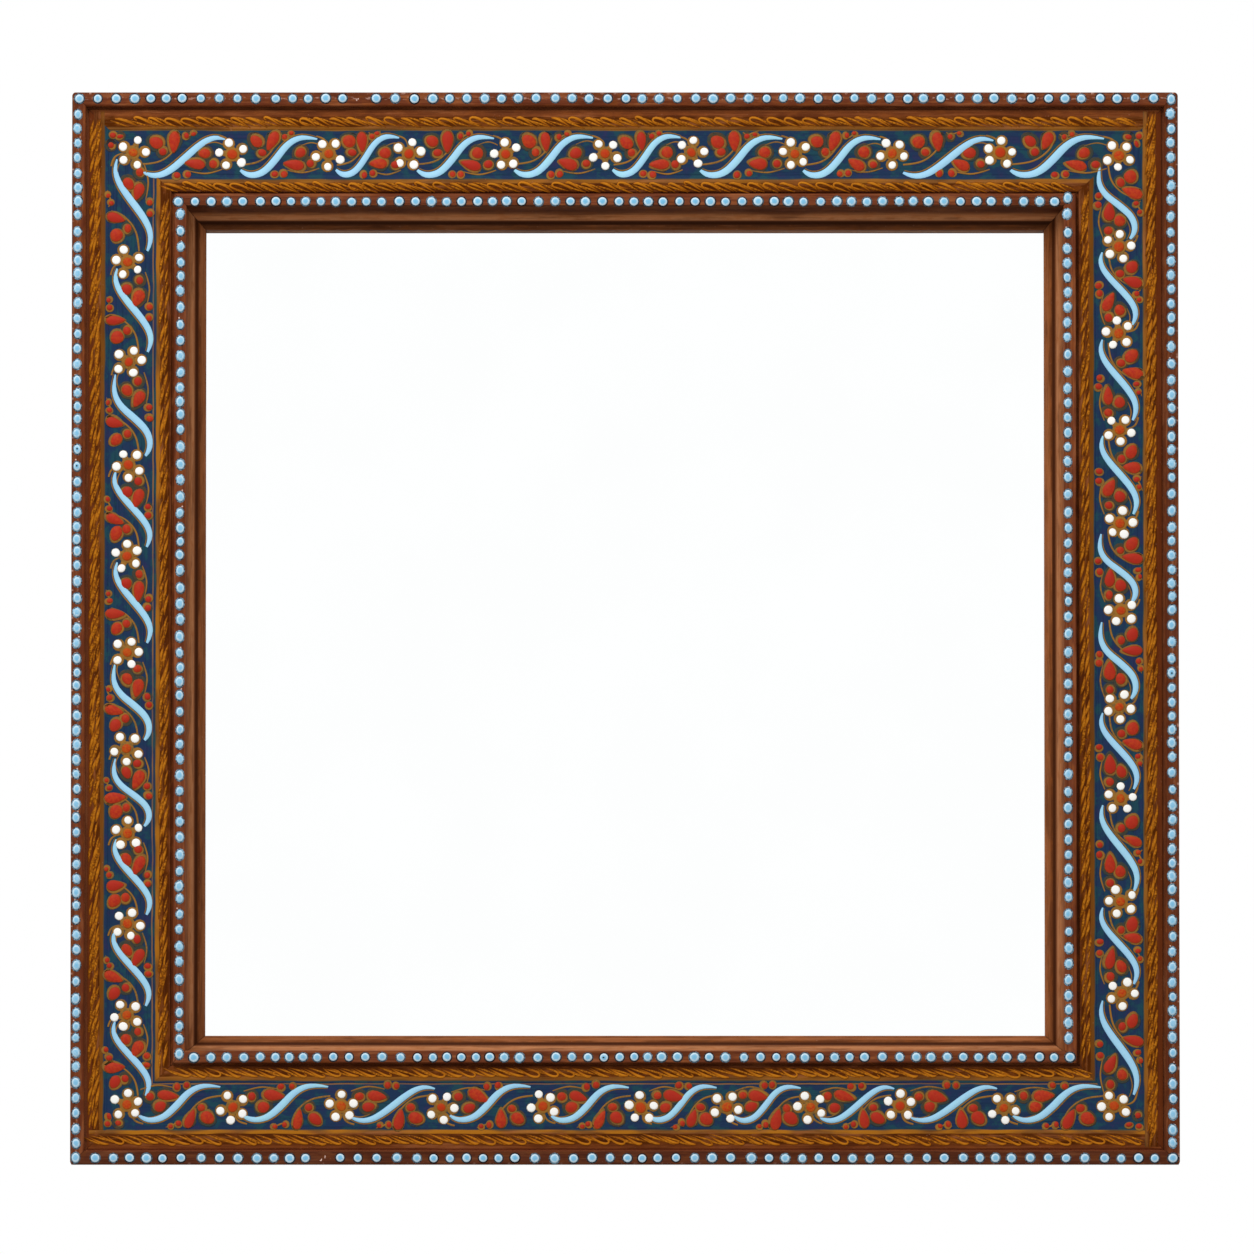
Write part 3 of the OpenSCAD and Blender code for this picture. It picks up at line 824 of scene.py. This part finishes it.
# The two swings of the painter's hand: most rows have the first, and most columns the second
ribbon_paths = [
    ([(4.0, -7.2), (6.2, -9.2), (10.8, -9.8), (15.6, -7.8), (20.6, -2.2), (25.4, 4.4),
      (30.0, 7.8), (35.4, 8.8), (40.4, 7.8)],
     [1.4, 2.6, 3.2, 3.4, 3.5, 3.3, 2.9, 2.2, 0.9]),
    ([(4.6, -8.2), (8.0, -10.0), (13.4, -9.6), (18.6, -6.4), (24.0, -1.6), (29.6, 3.6),
      (34.6, 7.2), (39.6, 8.4), (43.0, 7.2)],
     [1.3, 2.5, 3.1, 3.4, 3.5, 3.3, 2.9, 2.2, 0.9]),
]


def beside(points, widths, gap):
    """The points of a line that keeps a gap to a stroke's left edge, or below 0 to its right."""
    ends = [Vector(point) for point in points]
    ahead = [b - a for a, b in zip([ends[0]] + ends, ends[1:] + [ends[-1]])]
    return [end + math.copysign(width / 2 + abs(gap), gap) * Vector((-way.y, way.x)).normalized()
            for end, width, way in zip(ends, widths, ahead)]


ribbon_strokes = [
    brush_line("ribbon", points, widths, 0.38, 3, 2)
    for points, widths in ribbon_paths
]
edge_widths = [0.5, 0.6, 0.7, 0.7, 0.7, 0.7, 0.7, 0.6, 0.4]
edge_strokes = [
    [brush_line("ribbon edge", beside(points, widths, gap), edge_widths, 0.2, 3)
     for points, widths in ribbon_paths]
    for gap in (0.5, -0.5)
]
# How wide the strokes swing across the top, right, bottom and left panels, and how far in they lie
swings = (0.96, 0.89, 0.85, 0.89)
ribbon_shifts = (0, 0.8, 1.5, 0.8)
for side, side_name in enumerate(side_names):
    dice = random.Random(110 + side)
    ribbons, edges = [], []
    # On the right and bottom rails the strokes were pulled the other way
    turned = side in (1, 2)
    for a, b, stretch in cells[side]:
        way = side % 2 if dice.random() < 0.75 else 1 - side % 2
        a, turn = (a + cell_length * stretch, math.pi) if turned else (a, 0)
        b += scatter(dice, 0.2) - ribbon_shifts[side]
        spot = put(a, b, turn + scatter(dice, 0.008), (stretch, swings[side], 1), sunk)
        ribbons.append((ribbon_strokes[way], spot, dice.uniform(0, 0.6)))
        edges.append((edge_strokes[turned][way], spot, dice.uniform(0.2, 1)))
    node = "ribbons_" + side_name
    lay("blue_ribbons_" + side_name, ribbons, side, ribbon_paint, "ribbon_enamel", node)
    lay("ribbon_edges_" + side_name, edges, side, ochre_paint, "painted_wood")

# The rows of light blue dots: thick enamel, dabbed with the round end of the brush on the crown of
# each bead. Each has a paler rim, a bluer middle, and a thin dark ring at its foot. A few have
# flaked off, and the white ground shows in chips beside others.
crown = 3.3
foot = crown - 0.01
dot_paint = enamel(
    "light blue dot enamel",
    [(0, (26, 18, 20)), (0.12, (30, 24, 28)), (0.19, (150, 180, 198)), (0.4, (214, 232, 240)),
     (0.8, (202, 226, 240)), (0.86, (136, 196, 228)), (1, (112, 180, 218))],
    (160, 206, 232), 0.25,
)
dot = drop("dot", 2.65, 0.04, [(0.58, 0.03), (0.12, 0.36), (0.62, 0.24)], 0.12)
pit = drop("pit", 0.42, 0.02, [(0.1, 0.02)], 0.01, 8)
pit.data.attributes["rise"].data.foreach_set("value", [0.0] * len(pit.data.vertices))
chip = drop("chip", 0.5, 0.02, [(0.14, 0.03)], 0.01, 7)
chip_paint = enamel(
    "bare white ground",
    [(0, (150, 104, 84)), (0.4, (214, 178, 162)), (1, (232, 204, 192))],
    (188, 150, 140), 0.7, 0.5,
)
# How far in the painter set each row from the middle of its bead, on the four rails
dot_shifts = {"outer": (-0.3, 0.0, -0.2, -0.6), "inner": (0.9, 1.0, -0.3, 0.1)}
# Where along a rail a dot has flaked off, or has a pit in it
flaked_dots = {("top", "outer"): -119.6, ("bottom", "outer"): 132.7}
pitted_dots = {
    ("left", "outer"): (73.0, 80.7),
    ("right", "outer"): (21.6,),
    ("bottom", "inner"): (12.9,),
}
for side, side_name in enumerate(side_names):
    on_column = side % 2
    # Beside the dots of a column, the ground shows on their upper side.
    upwards = (0, -1, 0, 1)[side]
    chips = []
    for row in ("outer", "inner"):
        dice = random.Random(135 + side * 2)
        node = f"{row}_dots_{side_name}"
        # The painter's spacing drifts in slow waves that die out at the corners.
        waves = [
            (dice.uniform(0.7, 1.2), dice.uniform(9, 13), dice.uniform(0, 6)),
            (dice.uniform(0.7, 1.2), dice.uniform(9, 13), dice.uniform(0, 6)),
            (0.5, 5.0, dice.uniform(0, 6)),
        ]
        dots = []
        for a, b in centres(node, side, 1):
            flaked = abs(a - flaked_dots.get((side_name, row), 1000)) < 4
            pitted = any(abs(a - at) < 3.3 for at in pitted_dots.get((side_name, row), ()))
            from_corner = min(1, (half_length(side) - abs(a)) / 30)
            off_pitch = sum(swing * math.sin(a / wave + phase) for swing, wave, phase in waves)
            a = a + off_pitch * from_corner * 0.7 + scatter(dice, 0.3)
            b = b - dot_shifts[row][side] + scatter(dice, 0.18)
            size = dice.uniform(0.9, 1.04)
            if on_column:
                long, wide, tone = dice.uniform(1.0, 1.12), 0.84, dice.uniform(0.4, 1)
            else:
                long, wide, tone = dice.uniform(0.94, 1.04), 0.97, dice.uniform(0, 0.5)
            spot = put(a, b, scatter(dice, 0.2), (size * long, size * wide, 1), foot)
            if flaked:
                chip_count = dice.choice((2, 3, 4))
            else:
                chip_count = int(dice.random() < (0.3 if on_column else 0.08))
            for k in range(chip_count):
                if flaked:
                    da, db = scatter(dice, 1.6), scatter(dice, 1.0)
                else:
                    da = upwards * dice.uniform(2.3, 2.8) + scatter(dice, 0.4)
                    db = scatter(dice, 1.2)
                size = (dice.uniform(0.4, 1.0), dice.uniform(0.3, 0.8), 1)
                chip_spot = put(a + da, b + db, dice.uniform(0, 6), size, foot)
                chips.append((chip, chip_spot, dice.random()))
            if not flaked:
                dots.append((dot, spot, tone))
                if pitted:
                    pit_spot = put(a + 0.2, b + 0.1, 0, (1.1, 0.9, 1), crown + 0.745)
                    dots.append((pit, pit_spot, 0))
        lay(f"blue_dots_{row}_{side_name}", dots, side, dot_paint, "blue_enamel", node)
    lay("bare_chips_" + side_name, chips, side, chip_paint, "painted_wood")

for master in masters:
    bpy.data.objects.remove(master)

# The mirror pane: 3 mm float glass with silvering on its back. It lies in the rabbet of the rails,
# against the sight edge.
silvered_glass, place = start_finish("silvered glass")
haze = place.noise(60, 3)
end_finish(silvered_glass, {
    "Base Color": haze.between(0.3, 0.7).tint(colour(253, 254, 254), colour(254, 255, 255)),
    "Metallic": 1.0,
    "Roughness": haze * 0.02,
})
clothe(silvered_glass, "mirror_glass")

# The grey card that keeps the hardboard off the silvering: plain pulp board with darker flecks,
# cut to the size of the glass and laid in loose.
grey_card, place = start_finish("grey pulp card")
flecks = place.noise(0.6, 3, 0.6)
end_finish(grey_card, {
    "Base Color": flecks.between(0.35, 0.65).tint(colour(122, 121, 116), colour(152, 150, 144)),
    "Roughness": 0.8 + flecks * 0.2,
    "Normal": flecks.bump(0.05),
})
clothe(grey_card, "card_sheet")

# The hardboard back: pressed brown fibre, rough side out, with the print of the wire screen that
# it was pressed on, some scuffs, and paler rubbed places. The turn buttons hold it in.
hardboard, place = start_finish("hardboard")
x, y, z = place.parts()
fibres = place.noise(1.6, 5, 0.75, 0.8)
clouds = place.noise(60, 4, 0.6)
screen_pitch = 1.8
screen = x.maths("SINE", x * (math.tau / screen_pitch))
screen = screen * z.maths("SINE", z * (math.tau / screen_pitch))
scuffs = place.vector(x / 40, y, z / 1.2).noise(1, 3, 0.7, 1.2)
base = clouds.between(0.3, 0.7).tint(colour(102, 70, 46), colour(128, 92, 62))
base = (fibres.between(0.5, 0.68) * 0.6).tint(base, colour(158, 120, 82))
base = (fibres.between(0.46, 0.3) * 0.6).tint(base, colour(70, 46, 30))
base = (scuffs.between(0.64, 0.7) * 0.4).tint(base, colour(176, 142, 106))
base = ((screen > 0.3) * 0.12).tint(base, colour(60, 40, 26))
end_finish(hardboard, {
    "Base Color": base,
    "Roughness": 0.62 + fibres * 0.3,
    "Specular IOR Level": 0.3,
    "Normal": (fibres * 0.8 + screen * 0.2).bump(0.15),
})
clothe(hardboard, "backing_board")

# The V nails across the mitres: blued steel strip, folded to a V and pressed in flush from the
# back while the glue was wet.
nail_steel, place = start_finish("blued nail steel")
bloom = place.noise(0.8, 3, 0.6)
end_finish(nail_steel, {
    "Base Color": bloom.between(0.4, 0.7).tint(colour(74, 78, 88), colour(122, 96, 78)),
    "Metallic": 1.0,
    "Roughness": 0.35 + bloom * 0.3,
    "Normal": bloom.bump(0.03),
})
clothe(nail_steel, "corner_v_nails")

# The eight turn buttons: stamped steel under bright zinc, clouded where the plating has dulled,
# with fine scratches from turning. Each turns on one screw.
zinc_plate, place = start_finish("zinc plate")
clouding = place.noise(3.2, 4, 0.65, 0.6)
x, y, z = place.parts()
scratches = place.vector(x / 4, y, z / 0.12).noise(1, 2)
base = clouding.between(0.36, 0.64).tint(colour(150, 154, 158), colour(204, 206, 204))
base = (clouding.between(0.6, 0.72) * 0.5).tint(base, colour(186, 176, 146))
end_finish(zinc_plate, {
    "Base Color": base,
    "Metallic": 1.0,
    "Roughness": 0.26 + clouding * 0.3,
    "Normal": scratches.bump(0.012),
})
clothe(zinc_plate, *(f"turn_button_{n}" for n in range(1, 9)))

# The screws of the turn buttons and of the strap hangers: turned brass with slotted round heads,
# driven by hand into the pine and browned in places by handling.
screw_brass, place = start_finish("screw brass")
tarnish = place.noise(1.3, 4, 0.65)
base = tarnish.between(0.35, 0.7).tint(colour(208, 168, 92), colour(138, 98, 50))
end_finish(screw_brass, {
    "Base Color": base,
    "Metallic": 1.0,
    "Roughness": 0.22 + tarnish * 0.3,
    "Normal": place.noise(0.25, 2).bump(0.01),
})
clothe(screw_brass, "turn_button_screws", "hanger_screws")

# The two strap hangers, pressed from sheet and screwed on, and the D rings of bent wire that swing
# in them: nickel plate over steel, with brown spots of rust where the plating has pinholes.
nickel_plate, place = start_finish("nickel plate")
film = place.noise(2.4, 3, 0.6)
rust = place.noise(0.9, 3, 0.7).between(0.66, 0.72)
base = film.between(0.35, 0.7).tint(colour(196, 192, 184), colour(160, 156, 148))
base = (rust * 0.7).tint(base, colour(110, 66, 36))
end_finish(nickel_plate, {
    "Base Color": base,
    "Metallic": 1.0 - rust * 0.7,
    "Roughness": 0.18 + film * 0.2 + rust * 0.3,
    "Normal": film.bump(0.015),
})
clothe(nickel_plate, "hanger_strap_left", "hanger_strap_right", "ring_left", "ring_right")

# The four bumpers that rest on the wall: round feet of soft black rubber, dusty, with a faint
# bloom, stuck on at the corners.
bumper_rubber, place = start_finish("bumper rubber")
dust = place.noise(2.2, 4, 0.65)
bloom = place.noise(0.3, 2).between(0.68, 0.74)
base = dust.between(0.4, 0.7).tint(colour(34, 34, 35), colour(62, 60, 56))
base = (bloom * 0.6).tint(base, colour(120, 114, 104))
end_finish(bumper_rubber, {
    "Base Color": base,
    "Roughness": 0.6 + dust * 0.25,
    "Normal": place.noise(0.4, 3).bump(0.03),
})
for corner in ("top_left", "top_right", "bottom_left", "bottom_right"):
    clothe(bumper_rubber, "bumper_" + corner)

# The floor: a pale sheet well below the mirror, which hangs clear of it. It isn't part of the
# mirror.
bpy.ops.mesh.primitive_plane_add(size=60, location=(0, 0, -3.4))
floor = bpy.context.object
floor.name = "floor"
floor_paint, place = start_finish("pale floor")
folds = place.noise(400, 2).between(0.3, 0.7)
end_finish(floor_paint, {
    "Base Color": folds.tint(colour(240, 240, 240), colour(246, 246, 246)),
    "Roughness": 0.8,
})
floor.data.materials.append(floor_paint)

# The light: one large soft lamp above and in front, and white surroundings, which the camera,
# polished metal and glass see at full strength.
ambient = 0.58
world = bpy.data.worlds.new("studio")
bpy.context.scene.world = world
world.use_nodes = True
world.node_tree.nodes.clear()
start = Socket(world.node_tree)
rays = ("Is Camera Ray", "Is Glossy Ray", "Is Transmission Ray")
camera_ray, glossy_ray, glass_ray = [start.node("LightPath", {}, {}, ray) for ray in rays]
seen = camera_ray.most(glossy_ray).most(glass_ray)
glow = start.node("Background", {}, {"Color": (1, 1, 1, 1), "Strength": seen.choose(ambient, 1.0)})
world_output = world.node_tree.nodes.new("ShaderNodeOutputWorld")
world.node_tree.links.new(glow.socket, world_output.inputs["Surface"])

bpy.ops.object.light_add(type="AREA", location=(-0.7, -1.9, 1.9))
lamp = bpy.context.object
lamp.rotation_euler = (-lamp.location).to_track_quat("-Z", "Y").to_euler()
lamp.data.size = 1.3
lamp.data.energy = 48

bpy.context.scene.view_settings.view_transform = "Standard"
